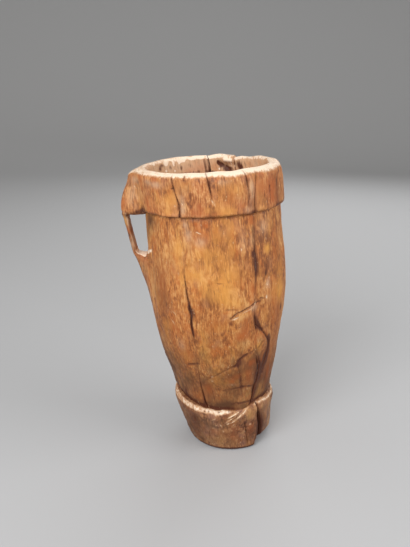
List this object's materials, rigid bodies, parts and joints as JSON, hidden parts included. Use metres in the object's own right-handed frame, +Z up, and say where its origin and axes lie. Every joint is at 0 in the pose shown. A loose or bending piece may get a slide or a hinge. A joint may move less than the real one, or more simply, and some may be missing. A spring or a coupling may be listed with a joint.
{
  "type": "carved wooden container",
  "caption": "Tall leaning vessel hollowed from a log, with a proud rim band, a pierced lug handle at one side and a stepped foot.",
  "frame": {"origin": "centre of the flat underside that the vessel stands on", "axes": "+Z up the vessel; -X towards the lug handle, which is also the side that it leans to; -Y towards the front"},
  "size_m": [0.2124, 0.1822, 0.3865],
  "materials": {
    "wall_wood": "hand-rubbed, warm orange-brown with fine vertical grain",
    "rim_wood": "hand-rubbed orange-brown, worn pale on the lip",
    "handle_wood": "hand-rubbed orange-brown, worn pale in the slot",
    "foot_wood": "darker, smoked and soiled, worn pale on the ledge",
    "check_resin": "dull dark resin packed into the checks"
  },
  "bodies": {
    "root": {"foot_block": "foot_wood", "barrel_wall": "wall_wood", "rim_band": "rim_wood", "rim_stave": "rim_wood", "handle_strap": "handle_wood", "resin_left": "check_resin", "resin_right_upper": "check_resin", "resin_right_lower": "check_resin"}
  },
  "joints": []
}
